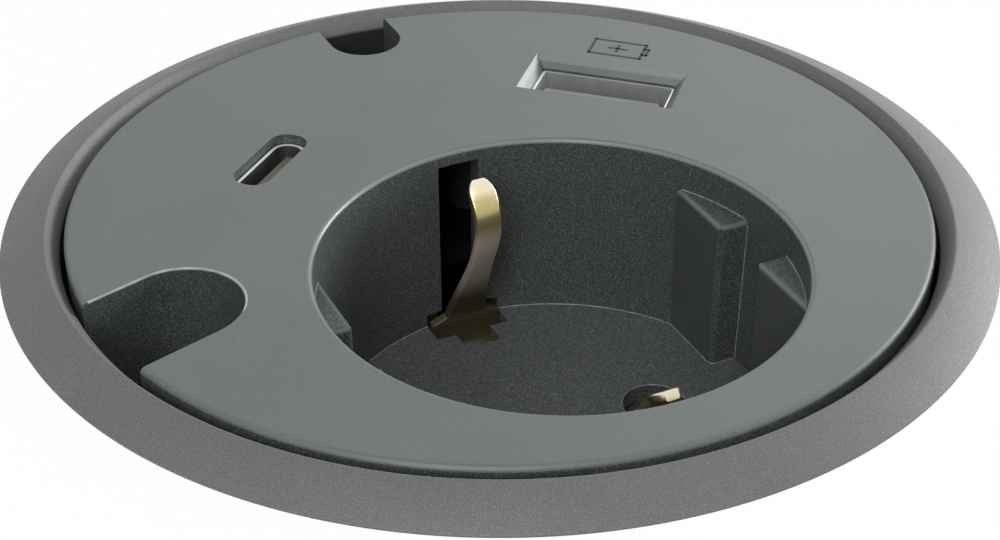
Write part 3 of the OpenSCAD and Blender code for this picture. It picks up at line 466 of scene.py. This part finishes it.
def bead(name, paths, radius, finish, sides=6):
    """A thin round bead of one radius along each of several lines, as one object."""
    points, faces = [], []
    for path in paths:
        rows = []
        for i, here in enumerate(path):
            ahead = Vector(path[min(i + 1, len(path) - 1)]) - Vector(path[max(i - 1, 0)])
            ahead.normalize()
            side = ahead.cross(Vector((0, 0, 1)))
            if side.length < 0.01:
                side = ahead.cross(Vector((1, 0, 0)))
            side.normalize()
            up = side.cross(ahead)
            rows.append([Vector(here) + radius * (math.cos(a) * side + math.sin(a) * up)
                         for a in (2 * math.pi * k / sides for k in range(sides))])
        more, more_faces = skin(rows, cap=True)
        faces += [tuple(v + len(points) for v in face) for face in more_faces]
        points += more
    return make_object(name, points, faces, finish, sharp=80)

# %% [markdown]
# ## The trim ring
# The ring is turned here again from the frame's own sizes, because the real barrel carries the thread
# that the clamp nut runs on. A thread of 3 mm pitch is a wave of the barrel's radius that climbs with
# the angle, so the barrel is a fine grid whose radius follows that wave. A thread cut by a boolean would
# give a worse mesh for the same look.

# %% Trim ring with its thread
FLANGE_R, LIP_H = 41.75, 0.3
CREST = (37.9, 2.03)
CREST_ROUND = 0.2
RING_INNER_R, INNER_SLOPE_Z = 36.87, 0.55
BARREL_R, BARREL_Z = 39.4, -34.0
SEAT_R, SEAT_Z = 35.3, -30.0
THREAD_PITCH, THREAD_DEPTH = 3.0, 0.75
THREAD_TOP = -2.5
RING_STEPS = 216


def corner_arc(a, b, c, radius, steps=6):
    """Points of the arc that rounds corner b between a and c, all of them (r, z)."""
    a, b, c = Vector(a), Vector(b), Vector(c)
    u, w = (a - b).normalized(), (c - b).normalized()
    half = u.angle(w) / 2
    middle = b + (u + w).normalized() * radius / math.sin(half)
    p, q = b + u * radius / math.tan(half) - middle, b + w * radius / math.tan(half) - middle
    start = math.atan2(p.y, p.x)
    sweep = (math.atan2(q.y, q.x) - start + 3 * math.pi) % (2 * math.pi) - math.pi
    return [tuple(middle + radius * Vector((math.cos(start + sweep * i / steps),
                                            math.sin(start + sweep * i / steps))))
            for i in range(steps + 1)]


def thread_radius(z, turn):
    """The barrel's radius at a height and at a part of a full turn: flat crests and roots, sloping flanks."""
    phase = ((z - BARREL_Z) / THREAD_PITCH - turn) % 1.0
    wave = min(max(abs(phase - 0.5) * 4 - 0.6, 0.0), 0.8) / 0.8
    fade = min(max((THREAD_TOP - z) / 1.5, 0.0), 1.0) * min(max((z - BARREL_Z) / 0.8, 0.0), 1.0)
    return BARREL_R - THREAD_DEPTH * (1 - wave * 1.0) * fade if fade > 0 else BARREL_R


fixed = [(SEAT_R, BARREL_Z)]
barrel_rows = [BARREL_Z + 0.25 * i for i in range(int(-BARREL_Z / 0.25) + 1)]
crest_arc = corner_arc((FLANGE_R, LIP_H), CREST, (RING_INNER_R, INNER_SLOPE_Z), CREST_ROUND, 8)
after = [(BARREL_R, 0.0), (FLANGE_R - 0.08, 0.0), (FLANGE_R, 0.08), (FLANGE_R, LIP_H - 0.08),
         (FLANGE_R - 0.1, LIP_H + 0.02)]
after += crest_arc + [(RING_INNER_R + 0.03, INNER_SLOPE_Z + 0.06), (RING_INNER_R, INNER_SLOPE_Z - 0.06),
                      (RING_INNER_R, SEAT_Z), (SEAT_R, SEAT_Z)]
rows = []
for r, z in fixed:
    rows.append([on_circle(r, 360 * i / RING_STEPS, z) for i in range(RING_STEPS)])
for z in barrel_rows[:-1]:
    rows.append([on_circle(thread_radius(z, i / RING_STEPS), 360 * i / RING_STEPS, z)
                 for i in range(RING_STEPS)])
for r, z in after:
    rows.append([on_circle(r, 360 * i / RING_STEPS, z) for i in range(RING_STEPS)])
ring = make_object("trim_ring_threaded", *skin(rows, wrap_rows=True), ring_lacquer, sharp=24)
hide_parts("trim_ring")
print("trim ring faces:", len(ring.data.polygons))

# %% [markdown]
# ## The earth strip
# One strip of plated brass lies under the floor, with a clip bent up at each end that touches the side
# of a plug. It was blanked, so its edges are rounded on one side and slightly bright, and then bent. It is
# swept here: a rounded rectangle follows the strip's middle line, and its width follows the blank.

# %% Earth strip
WELL_Y = -11.3
FLOOR_Z = -15.77
FLOOR_UNDER = FLOOR_Z - 1.5
STRIP_T = 0.8
STRIP_MID = FLOOR_UNDER - 1.2 - 0.05 - STRIP_T / 2
CLIP_TOP = 16.75
FRONT_GIVE, FRONT_DROP = 2.1, 0.3
STRIP_W, FOOT_W, NECK_W, WAIST_W, TIP_W = 3.2, 6.8, 4.0, 2.15, 2.45


def smooth_line(points, steps):
    """Points of a smooth curve through the given ones, with a number of steps between two of them."""
    out = []
    for i in range(len(points) - 1):
        a, b = points[max(i - 1, 0)], points[i]
        c, d = points[i + 1], points[min(i + 2, len(points) - 1)]
        last = i == len(points) - 2
        for j in range(steps + 1 if last else steps):
            t = j / steps
            out.append(tuple(0.5 * (2 * q + (s - p) * t + (2 * p - 5 * q + 4 * s - u) * t * t
                                    + (3 * q - p - 3 * s + u) * t ** 3)
                             for p, q, s, u in zip(a, b, c, d)))
    return out


def clip_line(give, drop):
    """Middle line of half the strip: distance from the well's centre, and height."""
    under = [(0.0, STRIP_MID), (6, STRIP_MID), (12, STRIP_MID), (16.8, STRIP_MID), (18.4, STRIP_MID + 0.55),
             (18.9, FLOOR_UNDER + 0.3)]
    clip = [(18.75, 1), (17.7, 3.6), (15.5, 7.9), (14.1, 11), (13.65, 13), (14.3, 15), (15.9, 16.6)]
    return smooth_line(under + [(y + give * h / CLIP_TOP, FLOOR_Z + h * (1 - drop / CLIP_TOP))
                                for y, h in clip], 10)


def strip_half_width(out, z, drop):
    """Half the blank's width at a point of the middle line."""
    if z < FLOOR_Z + 0.5:
        return STRIP_W / 2 if out < 17.3 else FOOT_W / 2
    h = z - FLOOR_Z
    tip_centre = CLIP_TOP - drop - TIP_W / 2
    if h < 1.2:
        return FOOT_W / 2 + (NECK_W - FOOT_W) / 2 * (h - 0.5) / 0.7
    if h < 9:
        t = (h - 1.2) / 7.8
        return NECK_W / 2 + (WAIST_W - NECK_W) / 2 * (1.6 * t - 0.6 * t * t)
    if h < tip_centre:
        return WAIST_W / 2 + (TIP_W - WAIST_W) / 2 * (h - 9) / (tip_centre - 9)
    return math.sqrt(max((TIP_W / 2) ** 2 - (h - tip_centre) ** 2, 0.0004))


def strip_rows(give, drop, side):
    """Sections of half the strip, on the side +1 (back) or -1 (front) of the well."""
    line = clip_line(give, drop)
    top = FLOOR_Z + CLIP_TOP - drop
    tip_i = max(i for i, p in enumerate(line) if p[1] < top - 0.35)
    fine = [(line[tip_i][0] + (line[tip_i + 1][0] - line[tip_i][0]) * t,
             line[tip_i][1] + (line[tip_i + 1][1] - line[tip_i][1]) * t) for t in (0.5,)]
    line = line[:tip_i + 1] + fine + line[tip_i + 1:]
    rows = []
    for i, (out, z) in enumerate(line):
        a, b = line[max(i - 1, 0)], line[min(i + 1, len(line) - 1)]
        along = Vector((b[0] - a[0], b[1] - a[1])).normalized()
        normal = Vector((-along.y, along.x))
        half = strip_half_width(out, z, drop)
        r = min(0.16, half * 0.5)
        section = []
        for cx, cn, start in ((half - r, STRIP_T / 2 - r, 0), (r - half, STRIP_T / 2 - r, 90),
                              (r - half, r - STRIP_T / 2, 180), (half - r, r - STRIP_T / 2, 270)):
            for k in range(4):
                a_k = math.radians(start + 30 * k)
                x, n = cx + r * math.cos(a_k), cn + r * math.sin(a_k)
                section.append((x, WELL_Y + side * (out + normal.x * n), z + normal.y * n))
        rows.append(section)
    return rows


points, faces = [], []
for rows in (strip_rows(0, 0, 1), strip_rows(FRONT_GIVE, FRONT_DROP, -1)):
    more, more_faces = skin(rows, cap=True)
    faces += [tuple(v + len(points) for v in face) for face in more_faces]
    points += more
strip = make_object("earth_strip_bent", points, faces, clip_metal, sharp=40)
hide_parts("earth_bracket")
print("earth strip faces:", len(strip.data.polygons))

# %% [markdown]
# ## Moulding seams in the well
# Where the floor is pressed into the well, and where the ribs grow out of its wall, the tool leaves a
# small radius. Each is a bead 0.14 mm wide, laid along the joint, because a real fillet that small would
# vanish in the render. It is drawn in a pale grey as a painted highlight: the thin bright line that such a
# radius gives. The pin holes' rims get such a bead too.

# %% Seams
WELL_FOOT_R, WELL_RIM_R, WELL_DEPTH = 19.65, 19.96, 17.5
RIB_FACE, RIB_GAP, RIB_ROUND = 16.9, 2.9, 0.6
RIB_TOP_Z = FACE_Z - 3.1
SEAM_R = 0.07
FOOT_SLOT_W = 7.1
PIN_X, PIN_HOLE_R = 9.5, 2.83


def wall_r(z):
    """Radius of the well's wall at a height."""
    return WELL_FOOT_R + (WELL_RIM_R - WELL_FOOT_R) * (z - FLOOR_Z) / WELL_DEPTH


def arc_in_well(radius, start, end, z, steps=24):
    """Points of an arc about the well's centre between two angles in degrees."""
    out = []
    for i in range(steps + 1):
        x, y, _ = on_circle(radius, start + (end - start) * i / steps, z)
        out.append((x, y + WELL_Y, z))
    return out


# A pale grey for the beads: painted highlight.
seam_highlight_finish, tree, shader, space = finish_base("seam_painted_highlight", Roughness=0.35, IOR=1.5)
seam_highlight_tint = blend(tree, ramp(tree, noise(tree, space, 0.5, 2.0), 0.35, 0.65), "#6e7170", "#9a9d9b")
tree.links.new(seam_highlight_tint, shader.inputs["Base Color"])

floor_seams, rib_seams = [], []
slot_angle = math.degrees(math.asin(FOOT_SLOT_W / 2 / WELL_FOOT_R))
rib_in = math.degrees(math.acos(RIB_FACE / WELL_FOOT_R))
rib_top_r = wall_r(RIB_TOP_Z)
for sx in (1, -1):
    for sy in (1, -1):
        def at(path):
            """The same path in this quarter of the well."""
            return [(sx * x, WELL_Y + sy * (y - WELL_Y), z) for x, y, z in path]
        floor_seams.append(at(arc_in_well(WELL_FOOT_R, rib_in, 90 - slot_angle, FLOOR_Z)))
        corner = corner_arc((RIB_FACE, 9), (RIB_FACE, RIB_GAP), (19, RIB_GAP), RIB_ROUND)
        rib_foot = [(RIB_FACE, math.sqrt(WELL_FOOT_R ** 2 - RIB_FACE ** 2))] + corner
        rib_foot += [(math.sqrt(WELL_FOOT_R ** 2 - RIB_GAP ** 2), RIB_GAP)]
        floor_seams.append(at([(x, WELL_Y + y, FLOOR_Z) for x, y in rib_foot]))
        top_in = math.degrees(math.acos((RIB_FACE + 0.3) / rib_top_r))
        top_out = math.degrees(math.asin((RIB_GAP + 0.3) / rib_top_r))
        rib_seams.append(at(arc_in_well(rib_top_r, top_out, top_in, RIB_TOP_Z)))
        foot_x = math.sqrt(WELL_FOOT_R ** 2 - RIB_GAP ** 2)
        top_x = math.sqrt(rib_top_r ** 2 - RIB_GAP ** 2)
        rib_seams.append(at([(foot_x, WELL_Y + RIB_GAP, FLOOR_Z), (top_x, WELL_Y + RIB_GAP, RIB_TOP_Z - 0.5)]))
# The pin holes' rims get the same painted highlight.
hole_rims = [[(sx * PIN_X + x, y, z) for x, y, z in arc_in_well(PIN_HOLE_R, 0, 360, FLOOR_Z)] for sx in (1, -1)]
seams = bead("well_seams", floor_seams + rib_seams + hole_rims, SEAM_R, seam_highlight_finish)
print("seams:", len(floor_seams), "on the floor,", len(rib_seams), "at the ribs")

# %% [markdown]
# ## The large cable notch's rim
# The rim of the large notch has a radius of a fifth of a millimetre, polished in the tool. A pale bead laid
# into the edge is a painted highlight: the bright line that such a radius gives, from the desk's side round to
# the well.

# %% Notch rim
NOTCH_AT, NOTCH_R, NOTCH_OPENS = (-29.4, -3.8), 5.05, 197
NOTCH_RIM_END = -40      # degrees, where the bright line fades out
FACE_R = 36.43
RIM_BEAD_R, RIM_BEAD_IN, RIM_BEAD_DOWN = 0.13, 0.06, 0.1

# A pale grey for the bead: painted highlight.
rim_highlight_finish, tree, shader, space = finish_base("rim_painted_highlight", Roughness=0.25, IOR=1.5)
rim_highlight_tint = blend(tree, ramp(tree, noise(tree, space, 1.2, 2.0), 0.35, 0.65), "#9ca2a1", "#babfbe")
tree.links.new(rim_highlight_tint, shader.inputs["Base Color"])

rim_z = FACE_Z - RIM_BEAD_DOWN
opens = Vector(on_circle(1, NOTCH_OPENS, 0))
start = Vector((*NOTCH_AT, rim_z)) + (NOTCH_R + RIM_BEAD_IN) * Vector(on_circle(1, NOTCH_OPENS - 90, 0))
straight, reach = [], 0
while (start + reach * opens).xy.length < FACE_R - 0.5:
    straight.append(tuple(start + reach * opens))
    reach += 0.25
round_end = []
for angle in range(NOTCH_OPENS - 95, NOTCH_RIM_END, -5):
    x, y, z = on_circle(NOTCH_R + RIM_BEAD_IN, angle, rim_z)
    round_end.append((NOTCH_AT[0] + x, NOTCH_AT[1] + y, z))
notch_rim = bead("notch_rim", [straight[::-1] + round_end], RIM_BEAD_R, rim_highlight_finish, sides=8)
print("notch rim points:", len(straight) + len(round_end))

# %% [markdown]
# ## The battery sign
# A generic battery sign beside the larger port says that it charges. On the real part it is
# printed with a pad in thin dark ink. Each line is a flat strip of ink 0.28 mm wide that lies on the face.

# %% Battery sign
SIGN_AT, SIGN_TURN = (22.275, 19.98), math.radians(-43.4)
SIGN_HALF = (2.525, 1.48)
INK_W, INK_T = 0.28, 0.02
NUB_OUT, NUB_HALF = 0.42, 0.6
PLUS_HALF = (0.85, 0.62)

ink, tree, shader, space = finish_base("sign_pad_printed_ink", Roughness=0.5)
ink_tint = blend(tree, ramp(tree, noise(tree, space, 0.12, 2.0), 0.4, 0.7), "#101614", "#202725")
tree.links.new(ink_tint, shader.inputs["Base Color"])

hx, hy = SIGN_HALF
lines = [((-hx, hy), (hx, hy)), ((hx, hy), (hx, -hy)), ((hx, -hy), (-hx, -hy)), ((-hx, -hy), (-hx, hy)),
         ((hx, NUB_HALF), (hx + NUB_OUT, NUB_HALF)), ((hx + NUB_OUT, NUB_HALF), (hx + NUB_OUT, -NUB_HALF)),
         ((hx + NUB_OUT, -NUB_HALF), (hx, -NUB_HALF)),
         ((-PLUS_HALF[0], 0), (PLUS_HALF[0], 0)), ((0, -PLUS_HALF[1]), (0, PLUS_HALF[1]))]
turn = Matrix.Rotation(SIGN_TURN, 2)
points, faces = [], []
for a, b in lines:
    a, b = Vector(a), Vector(b)
    along = (b - a).normalized() * INK_W / 2
    side = Vector((-along.y, along.x))
    flat = [turn @ p + Vector(SIGN_AT) for p in (a - along - side, b + along - side, b + along + side,
                                                 a - along + side)]
    base = len(points)
    points += [(p.x, p.y, FACE_Z - 0.01) for p in flat] + [(p.x, p.y, FACE_Z + INK_T) for p in flat]
    faces += [(base, base + 1, base + 2, base + 3), (base + 7, base + 6, base + 5, base + 4)]
    faces += [(base + i, base + (i + 1) % 4, base + 4 + (i + 1) % 4, base + 4 + i) for i in range(4)]
sign = make_object("battery_sign", points, faces, ink, sharp=30)
print("sign strips:", len(lines))

# %% [markdown]
# ## The desk
# The module is shown as it is used, let into a pale desk top, whose surface is the floor of this scene.
# It is a thin sheet with the 80 mm hole, so that the housing below it shows from the side. Most
# of its white comes from a plain white for the camera, and the rest is lit, which keeps the shadow.

# %% Desk surface
DESK_R, HOLE_R = 250, 40.4
WHITE_SHARE = 0.97

desk_finish, tree, shader, space = finish_base("desk_white_laminate", Roughness=0.7)
desk_tint = blend(tree, ramp(tree, noise(tree, space, 1.5, 2.0), 0.35, 0.65), "#f2f2f0", "#f7f7f5")
tree.links.new(desk_tint, shader.inputs["Base Color"])
white = add(tree, "ShaderNodeEmission", values={"Color": (1, 1, 1, 1), "Strength": 1.0})
path = add(tree, "ShaderNodeLightPath")
direct = add(tree, "ShaderNodeMath", {0: path.outputs["Is Camera Ray"], 1: path.outputs["Is Glossy Ray"]},
             operation="MAXIMUM")
direct = add(tree, "ShaderNodeMath", {0: direct.outputs[0], 1: path.outputs["Is Transmission Ray"]},
             operation="MAXIMUM")
share = add(tree, "ShaderNodeMath", {0: direct.outputs[0]}, {1: WHITE_SHARE}, operation="MULTIPLY")
mixed = add(tree, "ShaderNodeMixShader", {0: share.outputs[0], 1: shader.outputs["BSDF"],
                                          2: white.outputs["Emission"]})
tree.links.new(mixed.outputs["Shader"], tree.nodes["Material Output"].inputs["Surface"])
desk_rows = [[on_circle(r, 360 * i / 192, 0) for i in range(192)] for r in (HOLE_R, 60, 120, DESK_R)]
desk = make_object("desk_surface", *skin(desk_rows), desk_finish, body=None)
print("desk:", 2 * DESK_R, "mm across")

# %% [markdown]
# ## World and lamps
# Product shots of grey plastic use a white tent with one or two large soft boxes. A low white from the
# world stands for the tent. A broad box above and behind the camera draws the bright lines along the
# rims, and one from the right and behind gives the face its soft gradient from left to right.

# %% World and lamps
TENT = 0.24

world = bpy.data.worlds.new("studio_tent")
bpy.context.scene.world = world
world.use_nodes = True
tree = world.node_tree
tree.nodes.clear()
path = add(tree, "ShaderNodeLightPath")
direct = add(tree, "ShaderNodeMath", {0: path.outputs["Is Camera Ray"], 1: path.outputs["Is Glossy Ray"]},
             operation="MAXIMUM")
direct = add(tree, "ShaderNodeMath", {0: direct.outputs[0], 1: path.outputs["Is Transmission Ray"]},
             operation="MAXIMUM")
tent = add(tree, "ShaderNodeBackground", values={"Color": (1, 1, 1, 1), "Strength": TENT})
backdrop = add(tree, "ShaderNodeBackground", values={"Color": (1, 1, 1, 1), "Strength": 1.0})
choice = add(tree, "ShaderNodeMixShader", {0: direct.outputs[0], 1: tent.outputs[0], 2: backdrop.outputs[0]})
add(tree, "ShaderNodeOutputWorld", {"Surface": choice.outputs[0]})


def soft_box(name, at, size, watts, aim=(0, 0, 0)):
    """A rectangular soft box at a place in mm, aimed at a point."""
    lamp = bpy.data.lights.new(name, "AREA")
    lamp.shape = "RECTANGLE"
    lamp.size, lamp.size_y = size[0] * MM, size[1] * MM
    lamp.energy = watts
    holder = bpy.data.objects.new(name, lamp)
    bpy.context.scene.collection.objects.link(holder)
    holder.location = Vector(at) * MM
    holder.rotation_euler = (Vector(aim) * MM - holder.location).to_track_quat("-Z", "Y").to_euler()
    return holder


soft_box("front_top_box", (-130, -270, 460), (260, 120), 0.42)
soft_box("front_low_box", (-250, -310, 250), (180, 120), 0.56)
soft_box("back_right_box", (420, 330, 300), (460, 260), 0.39)
soft_box("right_low_box", (480, 0, 105), (320, 150), 1.85)
soft_box("rim_box", (-170, -230, 420), (44, 44), 0.35)
soft_box("under_left_box", (-330, -330, -170), (220, 160), 0.8, aim=(0, 0, -30))
soft_box("under_right_box", (380, -60, -150), (220, 160), 0.6, aim=(0, 0, -30))
soft_box("under_back_box", (-60, 380, -150), (220, 160), 0.6, aim=(0, 0, -30))
